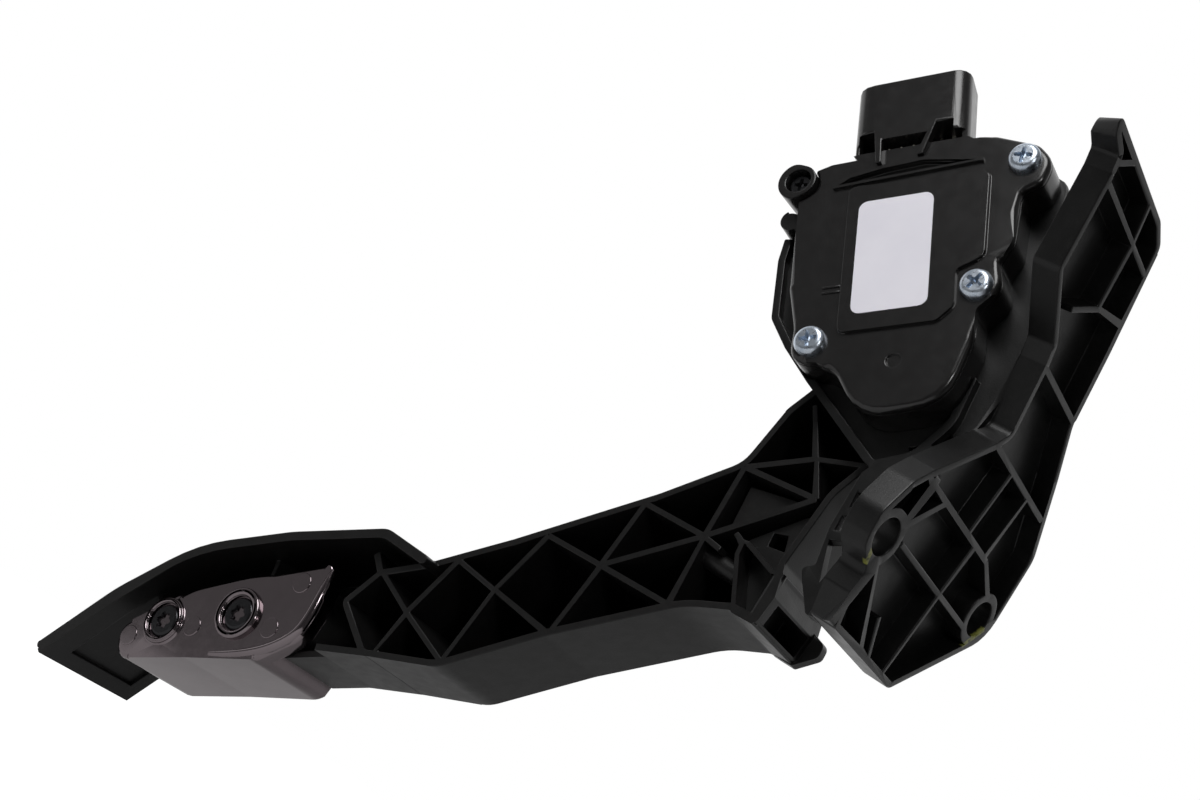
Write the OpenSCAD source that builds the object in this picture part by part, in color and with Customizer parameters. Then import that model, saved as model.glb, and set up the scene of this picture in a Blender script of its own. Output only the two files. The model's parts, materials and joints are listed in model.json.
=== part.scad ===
// Hanging accelerator pedal of a car, with its position sensor.
//
// A moulded bracket bolts to the bulkhead through two bores and carries, on one side, a sealed position
// sensor. The ribbed pedal arm hangs in the bracket on a steel shaft and ends in a curved foot pad.
// Two nested coil springs push the arm back to its idle stop, and a shoe on its lever adds friction.
//
// Frame: the origin is the middle of the two mounting bores on the face that meets the bulkhead.
// +X points forward through the bulkhead, +Y to the left of the car, +Z up.
// Profiles are drawn about the pivot of the arm, where Y zero is the outer face of the sensor cover.

/* [Mounting flange] */
// Diameter of the two mounting bores
bore_d = 10.2; // [8:0.1:12]
// Sideways distance between the two bores
bore_pitch_y = 65; // [58:0.5:70]
// Height of the left bore above the right one
bore_pitch_z = 7; // [2:0.5:10]
// Wall of the ring round each bore
bore_ring = 2.6; // [2:0.1:4]
// Depth of the ribbed flange, from its front edges to the face of its closed back
flange_depth = 8; // [6.5:0.5:10]
// Thickness of the closed back of the flange
flange_back = 2.2; // [1.8:0.1:3]
// Thickness of the outer wall of the flange
flange_wall = 2; // [1.6:0.1:3]
// Thickness of the ribs inside the flange
flange_rib = 1.7; // [1.3:0.1:2.4]

/* [Bracket body] */
// Distance from the pivot forward to the face that meets the bulkhead
pivot_back = 32; // [31:0.5:38]
// Distance from the sensor cover's face to the side plate it is screwed on
sensor_depth = 12; // [11.5:0.5:14]
// Thickness of the two side plates
plate_t = 3; // [2.4:0.1:3.6]
// Height of the raised rim along the near side plate
rim_h = 3; // [2:0.5:4]
// Width of that rim and of the walls between the plates
rim_w = 2.4; // [2:0.1:3]
// Gap between the ribs of the arm and each side plate
side_gap = 1; // [0.8:0.1:1.5]

/* [Pedal arm] */
// Width of the arm across the car
arm_w = 31; // [28:1:36]
// Thickness of the outer wall of the arm
arm_wall = 2; // [1.6:0.1:2.6]
// Thickness of the diagonal ribs
arm_rib = 1.6; // [1.3:0.1:2.2]
// Thickness of the closed web on the arm's far side
arm_web = 2.4; // [2:0.1:3]
// Width of the foot pad
pad_w = 43; // [38:1:50]
// Thickness of the foot pad
pad_t = 3; // [2.5:0.1:3.6]
// Height of the grip ridges on the foot pad
grip_h = 0.8; // [0.5:0.1:1.2]

/* [Pivot] */
// Diameter of the pivot shaft
shaft_d = 9; // [8:0.1:10]
// Radial clearance of the shaft in its bushes
shaft_fit = 0.04; // [0.02:0.01:0.08]
// Wall of the bearing bushes
bush_wall = 1.5; // [1.2:0.1:2]
// Outer diameter of the arm's hub
hub_d = 24; // [20:0.5:26]
// Radial clearance between pieces that are pushed together
seat_fit = 0.1; // [0.05:0.01:0.2]
// Gap that is left at every stop and sliding face
slide_gap = 0.3; // [0.2:0.05:0.5]

/* [Return springs] */
// Wire of the outer spring
outer_wire = 2; // [1.7:0.1:2.4]
// Mean diameter of the outer spring
outer_coil_d = 20; // [19:0.5:21]
// Turns of the outer spring
outer_turns = 6; // [5:0.5:7]
// Wire of the inner spring
inner_wire = 1.5; // [1.2:0.1:1.8]
// Mean diameter of the inner spring
inner_coil_d = 13; // [12:0.5:14]
// Turns of the inner spring
inner_turns = 8; // [6.5:0.5:9]
// Drop from the friction track's top to the springs' axis
spring_drop = 22; // [20:0.5:24]
// Length of the springs at idle
spring_l = 28; // [26:0.5:30]
// Radius of the track that the friction shoe slides on
track_r = 50; // [48:0.5:53]

/* [Sensor] */
// Lean of the sensor from upright
sensor_lean = 33.6; // [32:0.1:35]
// Thickness of the sensor cover
cover_t = 2.4; // [2:0.1:2.8]
// Wall of the sensor housing
housing_wall = 1.8; // [1.6:0.1:2.2]
// Thickness of the sensor housing's floor
housing_floor = 1.8; // [1.5:0.1:2.2]
// Height of the raised panel on the cover
panel_h = 1; // [0.6:0.1:1.4]
// Thickness of the circuit board
board_t = 1.6; // [1.2:0.1:1.8]
// Diameter of the magnet ring on the shaft's end
rotor_d = 18; // [16:0.5:19]
// Width of the label
label_w = 21; // [18:0.5:24]
// Length of the label
label_l = 36; // [32:0.5:40]
// Thickness of the label
label_t = 0.2; // [0.15:0.05:0.3]
// Head diameter of the three cover screws
screw_head_d = 8.8; // [8:0.1:9.5]
// Shank diameter of the three cover screws
screw_shank_d = 4; // [3.4:0.1:4.4]

/* [Connector] */
// Outer width of the connector hood
plug_w = 33; // [30:0.5:36]
// Outer depth of the connector hood
plug_d = 14; // [13:0.5:15]
// Wall of the connector hood
plug_wall = 1.8; // [1.5:0.1:2.1]
// Length of the connector hood
plug_l = 17; // [15:0.5:20]
// Length of the open window under the hood
window_l = 6; // [5:0.5:8]
// Spacing of the contact pins
pin_pitch = 3.6; // [3.2:0.1:4]
// Width of a contact pin
pin_w = 1; // [0.8:0.1:1.2]

/* [Pad trim] */
// Wall of the plated trim
trim_t = 2; // [1.6:0.1:2.4]
// Depth of the trim's belly across the arm
trim_w = 34; // [30:1:36]
// Depth of the trim's turned edge
trim_rim = 6; // [4:0.5:8]
// Head diameter of the two trim screws
trim_head_d = 10; // [9:0.2:11]
// Shank diameter of the two trim screws
trim_shank_d = 4.6; // [4:0.1:5]

/* [Hidden] */
$fn = 48;

// A little extra length, so that a cut passes clean through a face
over = 0.5;

// Places across the car, measured from the face of the sensor cover
near_y = sensor_depth;
plate_in = near_y + plate_t;
arm_y = plate_in + side_gap;
arm_far = arm_y + arm_w;
far_y = arm_far + side_gap;
bracket_far = far_y + plate_t;
mid_y = arm_y + arm_w / 2;
pad_y = mid_y - pad_w / 2;
trim_y = arm_y - 1;

// Places along the car, measured from the pivot
face_x = pivot_back;
back_x = face_x - flange_depth;

// The bores, as sideways place and height about the pivot
bore_right = [-5, -42];
bore_left = bore_right + [bore_pitch_y, bore_pitch_z];
bore_mid = (bore_right + bore_left) / 2;

// The pivot in the part's own frame
pivot = [-face_x, -bore_mid[0], -bore_mid[1]];

// Points of the shapes below are [x, y] or [x, y, corner radius].
// Flange, seen from the rear: y and z
flange_outline = [[1, -66.5, 2], [-3.5, -58, 2], [-3, -51, 3], [-11.5, -47.5, 6], [-13.5, -39, 7],
    [-10, -28, 5], [-5, -21.5, 5], [11, -4, 4], [14.5, 1, 3], [8, 19, 3], [5.5, 23.5, 3],
    [-14.5, 34.5, 3], [-15.5, 38, 3], [-21.5, 59.5, 2], [-23.5, 63.5, 1.5], [-29.5, 65, 2.5],
    [-32, 69, 1.5], [12, 69, 6],
    [20, 66, 4], [31.5, 38, 6], [38.5, 18.5, 8], [50, 6.5, 8], [66, -12, 8], [70, -37, 12],
    [41.5, -66.5, 3]];
flange_ribs = [
    [[-6, -24], [44, -24]], [[44, -24], [56, -29]], [[12.5, -4], [56, -4]], [[3, -40], [57, -40]],
    [[34, -24], [34, -66]], [[27.5, -24], [27.5, -4]], [[42, -24], [42, -4]], [[-1, -37], [9, -24]],
    [[-1, -48], [18.5, -66]], [[15.5, -56], [24, -66]], [[8.5, 18.7], [38, 18.7]],
    [[-19, 57.9], [24, 57.9]], [[-21, 63], [-13.5, 69]], [[2, 69], [7.5, 57.9]],
    [[7.5, 57.9], [12.5, 40.5]], [[2, 33], [13, 40.5]], [[13, 40.5], [30, 46]]];

// Side plate of the bracket: x and z
side_outline = [[-57, 14, 3], [-46.5, -2, 4], [-37, -7.5, 3], [-24, -13.3, 4], [8, -26, 4],
    [17, -18, 8], [20.5, -5, 10], [16.5, 14, 20], [10.5, 40, 20], [4, 70, 5], [-18, 70, 6],
    [-47, 51, 6], [-62, 41, 5], [-62, 26, 5]];
rim_zone = [[-70, 16], [-40, 30], [10, 10], [30, 6], [30, -40], [-70, -40]];
wall_zone = [[-70, 15], [-50, 15], [-40, 40], [0, 40], [11.5, -30], [40, -30], [40, 80], [-80, 80]];
// Webs from the front wall to the flange: height, start along x and end across
tie_webs = [[-20, 14, 50], [-4, 17, 50], [18.7, 14, 37], [44, 8, 28], [57.9, 5, 22]];
// The near plate runs on past the front wall to the back of the flange
near_apron = [[7, 65], [back_x + 1, 62], [back_x + 1, -22], [9, -24], [14, 0]];
// Lower side wall, which flares out from the side plate to the flange
cheek_outline = [[8, -25, 1], [6.8, -28, 4], [8.7, -44, 8], [12, -54.2, 1], [11, -55.2, 0.5],
    [9.7, -57, 1], [12.5, -60.5, 2], [18, -66.2, 2],
    [face_x, -66.2, 1], [face_x, -22, 1], [18, -12, 2]];
cheek_windows = [[[9.3, -32.5], [15.2, -33.4], [14.4, -35.1], [10.2, -37]],
    [[9.9, -39.8], [15, -38.1], [15.2, -43], [10.6, -44.1]],
    [[11, -47.2], [15.7, -45.2], [16.7, -48.7], [16.2, -57.8]]];

// Pedal arm: x and z
spring_z = track_r - spring_drop;
lever_top = track_r - 4;
lever_rear = -13;
lever_front = 4;
arm_outline = [[-96, -111.7, 1], [-77.5, -93.3, 40], [-45.4, -58.9, 30], [-29.5, -39.5, 10],
    [-28.5, -21, 10], [-24, -8, 12], [-22, spring_z - 21, 6], [lever_rear, spring_z - 15, 2],
    [lever_rear, lever_top - 2, 1], [lever_front, lever_top - 1, 1], [lever_front, 20, 4],
    [11, 10, 6], [13, -8, 10], [4, -22, 8], [0, -35, 12],
    [0.5, -57, 3], [4, -66, 1], [4, -74.5, 1.5], [-4.5, -75, 8], [-17, -81, 30], [-47, -109, 40],
    [-70.5, -134, 14], [-95.5, -145, 4], [-114.3, -136.5, 2], [-110, -122.7, 3]];
arm_belly = [[-94, -143.3], [-111, -151.4], [-123.5, -159.5]];
top_node = [[-109.3, -122.3], [-88, -106.5], [-67.4, -86], [-47.2, -63.5], [-28, -40.5]];
cross_node = [[-91.6, -127.3], [-70.9, -107.3], [-46.7, -84.6], [-25, -62.4]];
low_node = [[-92, -142.5], [-70.5, -132], [-46.3, -108], [-21, -83]];
hub_node = [[-22, -16], [-11.2, -28.9], [-3.7, -38.3]];
arm_ribs = concat(
    [for (i = [0:3]) [top_node[i], cross_node[i]]],
    [for (i = [0:3]) [top_node[i + 1], cross_node[i]]],
    [for (i = [0:3]) [cross_node[i], low_node[i]]],
    [for (i = [0:2]) [cross_node[i], low_node[i + 1]]],
    [[cross_node[2], cross_node[3]], [top_node[4], hub_node[1]], [top_node[4], hub_node[2]],
    [hub_node[0], hub_node[1]], [hub_node[1], hub_node[2]], [hub_node[1], [2, -24]],
    [cross_node[3], hub_node[2]], [cross_node[3], [-18.5, -63.1]], [[-17.6, -57.2], [-13.5, -58.5]],
    [[lever_rear, spring_z - 10], [lever_front, spring_z + 2]],
    [[lever_rear, spring_z + 12], [lever_front, spring_z + 12]]]);
pocket_a = [[-25.5, -43.5], [-21.8, -58.5], [-6.5, -39.6]];
pocket_b = [[-4.5, -42.5], [-15.5, -56.5], [-12, -58.5], [-2, -61], [-1, -57], [-1, -45]];
pocket_hole = [[-10.4, -51.1], [-6.4, -49.8], [-4.4, -54], [-9.5, -54.9]];
// Block at the arm's lower front end that meets the full-travel stop, with its rim, bar and end plate
stop_block = [[-14.9, -57.5, 1], [-13.8, -62, 2], [-4.1, -75.5, 1], [3.4, -75, 0.5], [1.9, -59.3, 0.5],
    [-1.6, -60, 0.5], [-12.6, -57.1, 1]];
stop_rim = 1.3;
stop_recess = 7;
bar_d = 3.4;
bar_foot = [1.9, -74.6];
bar_lean = -5.5;
bar_l = 15;
heel = [[-4, -75.5, 1], [3.4, -75.3, 1], [8.6, -69.5, 2], [8, -65.8, 2], [-1, -63.5, 1]];
heel_plate = 3;

// Foot pad: x and z, from its upper end down
pad_line = [[-92.5, -111, 2], [-112, -111.5, 8], [-142, -129.5, 60], [-171, -150.5, 60],
    [-188, -177.6, 60], [-201, -207, 2]];
// Raised band along the edges of the pad's underside at its lower end
band_h = 1.4;
band_near = 8.5;
band_far = 5;
band_end = 6;
pad_web = [[-94, -113], [-112, -114], [-142, -132], [-171, -153], [-188, -180], [-193, -196],
    [-184, -185.5], [-177, -182], [-150, -165], [-118, -150], [-110, -121]];

// Trim: x and z
trim_outline = [[-117.5, -153, 6], [-118.5, -142.5, 20], [-122, -132, 4], [-147, -146, 60],
    [-165, -162, 30], [-181, -186, 5], [-174.5, -194.5, 6], [-150, -179.5, 60], [-126.5, -166, 8]];
arm_end_web = [[-109, -121], [-124, -133], [-150, -150], [-150, -172], [-122, -158.5],
    [-110, -151]];
trim_edge_zone = [[-200, -190], [-200, -205], [-105, -205], [-105, -126], [-121, -128], [-126, -150],
    [-150, -170], [-178, -186]];
trim_belly_zone = [[-200, -190], [-200, -205], [-125, -205], [-125, -158], [-150, -170],
    [-178, -186]];
trim_screw_at = [[-143, -159], [-166.5, -175.5]];
trim_ring_d = trim_head_d + 5;
trim_ring_h = 1;

// Sensor, in its own leaning frame: u across and v along
cover_outline = [[-31, 64, 5], [-31, 46, 6], [-31.5, 27, 10], [-29, 14, 4], [-29.5, 4, 6],
    [-21, 2, 4], [-16, -1, 8], [-9, -15, 18], [14, -14, 18], [20.5, 4, 14], [21, 12.5, 3],
    [27.5, 18, 6], [26.5, 26, 3], [30, 32, 8], [31.5, 47, 3], [37, 49, 4], [40, 56, 7], [36, 62, 6],
    [24, 67.5, 6], [-22, 66.5, 4]];
platform = [[-16, 10, 2], [11, 10, 3], [15.5, 14, 3], [15.5, 25, 2], [23, 28, 3], [23.5, 55, 2],
    [-16, 57, 2]];
ridge_line = [[-20.8, 58], [-16.3, 60.9], [-6.6, 62.4], [5, 63], [14, 61.3], [21.5, 59.4]];
ridge_recess = [[-19.3, 58.5], [-15.8, 60.2], [-6.6, 61.6], [5, 62.2], [13.7, 60.5], [19.5, 59.6]];
ridge_h = 0.9;
screw_at = [[32.5, 57.3], [21, 19.5], [-23.4, 8.6]];
boss_at = [-31.3, 62];
boss_d = 10.5;
ear_at = [-35, 53.5];
ear_d = 6.6;
seal_outline = [[-25.3, 62, 3], [-27.5, 19, 5], [-15.5, 11, 5], [-13, -1, 6], [-8, -11.8, 8],
    [12, -11.3, 8], [16, 4, 10], [13, 13, 5], [13, 26, 5], [25, 32, 5], [24.5, 62, 3]];
board_outline = [[-24, 59, 2], [-24, 21, 2], [-11, 13, 2], [-11, 0, 3], [-6, -8, 3], [10, -7.5, 3],
    [13, 4, 3], [10.5, 12, 2], [10.5, 28, 2], [22, 34, 2], [22, 59, 2]];
label_at = [-2, 33];
hood_u = 1.8;
hood_v = 68;
hood_y = near_y - plug_d;
pin_y = 6;
seal_t = 1.2;
gusset_u = [-9.6, 6.4];
gussets = [[[-8.6, 63.3], [-7, 63.3], [-7.4, 74.5], [-9.6, 74.5]],
    [[3, 64], [4.9, 64], [8.3, 74.5], [6.2, 74.5], [5.9, 71.5]]];
lip_h = 3;

// Sizes of the bearings and bosses
bush_od = shaft_d + 2 * shaft_fit + 2 * bush_wall;
bush_l = plate_t + rim_h;
pivot_boss_d = bush_od + 6;
screw_boss_d = screw_shank_d + 4.5;
screw_boss_h = 6;
rotor_y = near_y - rim_h - slide_gap;
rotor_h = 3;
shaft_start = rotor_y - rotor_h;
shaft_end = far_y + bush_l - over;

// Places in the spring box, along x from the pivot
cup_t = 3;
cup_x = lever_rear - cup_t;
seat_t = 2.4;
seat_x = cup_x - spring_l - seat_t;
box_w = far_y - plate_in;
shoe_r = lever_top + 0.1;
track_t = 2.4;
stop_z = 35;
stop_x = lever_front + slide_gap;
stop_head_l = 3.6;

// Shapes of points

function unit(v) = v / norm(v);
function left_of(v) = [-v[1], v[0]];
function wrap(p, i) = p[(i + len(p)) % len(p)];
function xy(p) = [p[0], p[1]];
function radius_of(p, i) = len(p[i]) > 2 ? p[i][2] : 0;
function way_in(p, i) = unit(xy(p[i]) - xy(wrap(p, i - 1)));
function way_out(p, i) = unit(xy(wrap(p, i + 1)) - xy(p[i]));

// Angle that the outline turns at a point, positive to the left
function turn_at(p, i) = let (u = way_in(p, i), v = way_out(p, i))
    atan2(u[0] * v[1] - u[1] * v[0], u * v);

// The same outline set in by d on its left, each corner keeping its centre of rounding
function inset(p, d) = [for (i = [0:len(p) - 1])
    let (m = left_of(way_in(p, i)), n = left_of(way_out(p, i)),
        b = xy(p[i]) + d * (m + n) / (1 + m * n))
    [b[0], b[1], max(radius_of(p, i) - sign(turn_at(p, i)) * d, 0)]];

// The outline with each corner rounded by the radius that its point gives
function rounded(p, steps = 4) = [for (i = [0:len(p) - 1])
    let (b = xy(p[i]), u = way_in(p, i), v = way_out(p, i), turn = turn_at(p, i),
        room = min(norm(b - xy(wrap(p, i - 1))), norm(b - xy(wrap(p, i + 1)))) * 0.48,
        cut = min(room, radius_of(p, i) * tan(abs(turn) / 2)),
        r = abs(turn) < 1 ? 0 : cut / tan(abs(turn) / 2),
        side = turn > 0 ? 1 : -1,
        centre = b - cut * u + side * r * left_of(u))
    each (abs(turn) < 1 || r < 0.05 ? [b]
        : [for (k = [0:steps]) let (w = turn * k / steps)
            centre - side * r * [-u[1] * cos(w) - u[0] * sin(w), u[0] * cos(w) - u[1] * sin(w)]])];

function total(v, i = 0) = i >= len(v) ? 0 : v[i] + total(v, i + 1);
function area(p) = total([for (i = [0:len(p) - 1])
    let (a = p[i], b = wrap(p, i + 1)) a[0] * b[1] - a[1] * b[0]]) / 2;
function ccw(p) = area(p) < 0 ? [for (i = [len(p) - 1:-1:0]) p[i]] : p;
function arc(r, from, to, steps = 12) =
    [for (k = [0:steps]) let (a = from + (to - from) * k / steps) [r * cos(a), r * sin(a)]];

module shape(p) {
    polygon(rounded(ccw(p)));
}

module wall_of(p, t) {
    difference() {
        polygon(rounded(ccw(p)));
        polygon(rounded(inset(ccw(p), t)));
    }
}

// A straight rib of width t from a to b
module strip(a, b, t) {
    n = left_of(unit(b - a)) * t / 2;
    polygon([a + n, b + n, b - n, a - n]);
}

// An arc-shaped slab about the pivot
module sector(r, t, from, to) {
    polygon(concat(arc(r, from, to), arc(r + t, to, from)));
}

// An x and z profile as a solid from y to y + w
module across(y, w) {
    translate([0, y + w, 0]) rotate([90, 0, 0]) linear_extrude(w) children();
}

// A y and z profile as a solid from x to x + w
module forward(x, w) {
    translate([x, 0, 0]) rotate([90, 0, 90]) linear_extrude(w) children();
}

module pin_across(at, y, w, d) {
    translate([at[0], y + w, at[1]]) rotate([90, 0, 0]) cylinder(d = d, h = w);
}

module pin_forward(x, l, y, z, d) {
    translate([x, y, z]) rotate([0, 90, 0]) cylinder(d = d, h = l);
}

module at_pivot() {
    translate(pivot) children();
}

// The sensor's leaning frame: x becomes u and z becomes v
module in_sensor() {
    rotate([0, -sensor_lean, 0]) children();
}

// Bracket

module flange() {
    forward(back_x, flange_depth) intersection() {
        shape(flange_outline);
        union() {
            wall_of(flange_outline, flange_wall);
            for (r = flange_ribs) strip(r[0], r[1], flange_rib);
            for (b = [bore_right, bore_left]) translate(b) circle(d = bore_d + 2 * bore_ring);
        }
    }
    forward(back_x, flange_back) shape(flange_outline);
}

module side_plates() {
    across(near_y, plate_t) {
        shape(side_outline);
        polygon(near_apron);
    }
    difference() {
        across(near_y - rim_h, rim_h) intersection() {
            wall_of(side_outline, rim_w);
            polygon(rim_zone);
        }
        in_sensor() across(near_y - rim_h - over, rim_h + over) shape(inset(ccw(cover_outline), -slide_gap));
    }
    across(far_y, plate_t) shape(side_outline);
    pin_across([0, 0], near_y - rim_h, bush_l, pivot_boss_d);
    pin_across([0, 0], far_y, bush_l, pivot_boss_d);
    in_sensor() for (s = screw_at) pin_across(s, near_y - screw_boss_h, screw_boss_h + 1, screw_boss_d);
}

// Walls that join the side plates round the front, top and rear
module box_walls() {
    box_y = near_y + 1;
    box_across = bracket_far - 1 - box_y;
    across(box_y, box_across) intersection() {
        wall_of(side_outline, rim_w);
        polygon(wall_zone);
    }
    across(box_y, box_across) {
        strip([seat_x - rim_w / 2, spring_z - 18], [seat_x - rim_w / 2, spring_z + 21.5], rim_w);
        sector(track_r, track_t, 84, 122);
        for (x = [-20, 0]) strip([x, sqrt(track_r * track_r - x * x) + 1], [x, 69], rim_w);
    }
    // Tie webs from the front wall to the flange
    for (w = tie_webs) translate([w[1], box_y, w[0] - flange_rib / 2])
        cube([back_x - w[1] + 1, w[2] - box_y, flange_rib]);
    translate([stop_x + stop_head_l, mid_y - 7, stop_z - 7]) cube([6.5, 14, 14]);
}

// Lower side wall, which flares out from the side plate to the flange
module cheek() {
    outer_y = near_y - rim_h;
    inner_y = outer_y + plate_t;
    flare_x = 19;
    front_y = -3;
    intersection() {
        translate([0, 0, -70]) linear_extrude(60) polygon([[0, outer_y], [flare_x, outer_y],
            [face_x, front_y], [face_x, front_y + plate_t], [flare_x + 2, inner_y], [0, inner_y]]);
        across(-20, 60) difference() {
            shape(cheek_outline);
            for (w = cheek_windows) polygon(w);
        }
    }
}

module bracket_housing() {
    color("#2b2b2c") at_pivot() difference() {
        union() {
            flange();
            side_plates();
            box_walls();
            cheek();
        }
        for (b = [bore_right, bore_left])
            pin_forward(back_x - over, flange_depth + 2 * over, b[0], b[1], bore_d);
        pin_across([0, 0], near_y - rim_h - over, bush_l + 2 * over, bush_od + 2 * seat_fit);
        pin_across([0, 0], far_y - over, bush_l + 2 * over, bush_od + 2 * seat_fit);
        in_sensor() for (s = screw_at)
            pin_across(s, near_y - screw_boss_h - over, screw_boss_h + plate_t, screw_shank_d + 2 * seat_fit);
        pin_forward(stop_x + stop_head_l - over, 4, mid_y, stop_z, 4 + 2 * seat_fit);
        // Crescent slot in the near plate
        across(near_y - over, plate_t + 2 * over) sector(19.5, 2.6, -52, -20);
    }
}

// Plain bearing bush pressed into the boss of a side plate
module bush(y) {
    at_pivot() translate([0, y + bush_l, 0]) rotate([90, 0, 0]) difference() {
        cylinder(d = bush_od, h = bush_l);
        translate([0, 0, -over]) cylinder(d = shaft_d + 2 * shaft_fit, h = bush_l + 2 * over);
    }
}

module near_bush() {
    color("#c9c2a8") bush(near_y - rim_h);
}

module far_bush() {
    color("#c9c2a8") bush(far_y);
}

module idle_stop_buffer() {
    color("#1b1b1b") at_pivot() {
        pin_forward(stop_x, stop_head_l, mid_y, stop_z, 9);
        pin_forward(stop_x + stop_head_l, 3, mid_y, stop_z, 4);
    }
}

// Springs and their seats

// A disc with a spigot inside the inner spring and a collar between the two springs
module spring_end(x, t, way) {
    collar_od = outer_coil_d - outer_wire - 0.8;
    collar_id = inner_coil_d + inner_wire + 0.6;
    translate([x, mid_y, spring_z]) rotate([0, 90 * way, 0]) {
        translate([0, 0, -t]) cylinder(d = outer_coil_d + outer_wire + 2, h = t);
        translate([0, 0, -0.5]) cylinder(d = inner_coil_d - inner_wire - 1, h = 3.5);
        translate([0, 0, -0.5]) difference() {
            cylinder(d = collar_od, h = 2.5);
            translate([0, 0, 0.5]) cylinder(d = collar_id, h = 3);
        }
    }
}

// Rise of a wire after t turns, with one closed turn at each end
function coil_rise(t, turns, wire, length) =
    let (closed = wire * 1.06, open = (length - wire - 2 * closed) / (turns - 2))
    t < 1 ? t * closed : t > turns - 1 ? length - wire - (turns - t) * closed : closed + (t - 1) * open;

module coil(mean_d, wire, turns, length) {
    steps = 14;
    sides = 8;
    rings = floor(turns * steps);
    points = [for (k = [0:rings]) let (a = 360 * k / steps,
            h = wire / 2 + coil_rise(k / steps, turns, wire, length))
        for (s = [0:sides - 1]) let (b = 360 * s / sides, r = mean_d / 2 + wire / 2 * cos(b))
            [r * cos(a), r * sin(a), h + wire / 2 * sin(b)]];
    faces = concat(
        [[for (s = [0:sides - 1]) s]],
        [for (k = [0:rings - 1], s = [0:sides - 1]) let (n = (s + 1) % sides)
            [k * sides + s, (k + 1) * sides + s, (k + 1) * sides + n, k * sides + n]],
        [[for (s = [sides - 1:-1:0]) rings * sides + s]]);
    polyhedron(points, faces);
}

module spring(mean_d, wire, turns) {
    clear = 0.1;
    at_pivot() translate([seat_x + seat_t + clear, mid_y, spring_z]) rotate([0, 90, 0])
        coil(mean_d, wire, turns, spring_l - 2 * clear);
}

module spring_seat() {
    color("#3a3a3a") at_pivot() spring_end(seat_x + seat_t, seat_t, 1);
}

module return_spring_outer() {
    color("#8f9296") spring(outer_coil_d, outer_wire, outer_turns);
}

module return_spring_inner() {
    color("#8f9296") spring(inner_coil_d, inner_wire, inner_turns);
}

module spring_cup() {
    color("#4a4a4a") at_pivot() {
        spring_end(cup_x, cup_t, -1);
        pin_forward(lever_rear - 0.5, 5.5, mid_y, spring_z, 6);
    }
}

module friction_shoe() {
    color("#7a7a74") at_pivot() {
        across(arm_y + 4, arm_w - 8) sector(shoe_r, track_r - slide_gap - shoe_r, 86, 104);
        across(arm_y + 8, arm_w - 16) translate([-6, lever_top - 4]) square([4, 5]);
    }
}

// Sensor

module sensor_housing() {
    wall_h = near_y - cover_t - seat_fit;
    floor_y = near_y - housing_floor;
    boss_clear = screw_boss_d + 2 * seat_fit;
    seal_y = cover_t + seal_t + 2 * seat_fit;
    color("#242425") at_pivot() difference() {
        in_sensor() {
            across(floor_y, housing_floor) shape(cover_outline);
            across(near_y - wall_h, wall_h) {
                wall_of(cover_outline, housing_wall);
                intersection() {
                    shape(cover_outline);
                    for (s = screw_at) translate(s) circle(d = screw_boss_d + 4);
                }
            }
            // Inner wall that carries the seal round the circuit board
            across(seal_y, near_y - seal_y) wall_of(seal_outline, 1.6);
            pin_across(boss_at, -1.5, near_y + 1.5, boss_d);
            pin_across(ear_at, 5, near_y - 5, ear_d);
            across(5, near_y - 5) strip(ear_at, [-30, 50], 4);
        }
        in_sensor() {
            for (s = screw_at) {
                pin_across(s, near_y - screw_boss_h - seat_fit, screw_boss_h + 1, boss_clear);
                pin_across(s, cover_t - over, near_y, screw_shank_d + 2 * seat_fit);
            }
            pin_across(boss_at, -1.5 - over, 4.6, boss_d - 3);
            pin_across(boss_at, 0, 9, 3.4 + 2 * seat_fit);
            // Slot for the contact pins
            across(pin_y - 0.3 - seat_fit, 0.6 + 2 * seat_fit)
                translate([hood_u - 3 * pin_pitch, 59]) square([6 * pin_pitch, 11]);
        }
        pin_across([0, 0], floor_y - over, housing_floor + 2 * over, pivot_boss_d + 4 * seat_fit);
    }
}

module cover_seal() {
    color("#7a3a2a") at_pivot() in_sensor() across(cover_t + seat_fit, seal_t) wall_of(seal_outline, 1.2);
}

module circuit_board() {
    color("#2f5a3a") at_pivot() in_sensor() across(cover_t + 0.4, board_t) shape(board_outline);
}

module contact_pins() {
    board_back = cover_t + 0.4 + board_t;
    color("#c8b070") at_pivot() in_sensor() for (i = [0:5]) {
        u = hood_u + (i - 2.5) * pin_pitch - pin_w / 2;
        across(pin_y - 0.3, 0.6) translate([u, 58]) square([pin_w, 28]);
        across(board_back, pin_y - board_back) translate([u, 58]) square([pin_w, 0.6]);
    }
}

// Rounded box profile of the connector hood, across and deep, set in by d
module hood_profile(d) {
    u0 = hood_u - plug_w / 2 + d;
    u1 = hood_u + plug_w / 2 - d;
    y0 = hood_y + d;
    y1 = near_y - d;
    r = 4.5 - d;
    polygon(rounded([[u0, y0, r], [u1, y0, r], [u1, y1, 2], [u0, y1, 2]]));
}

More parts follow.
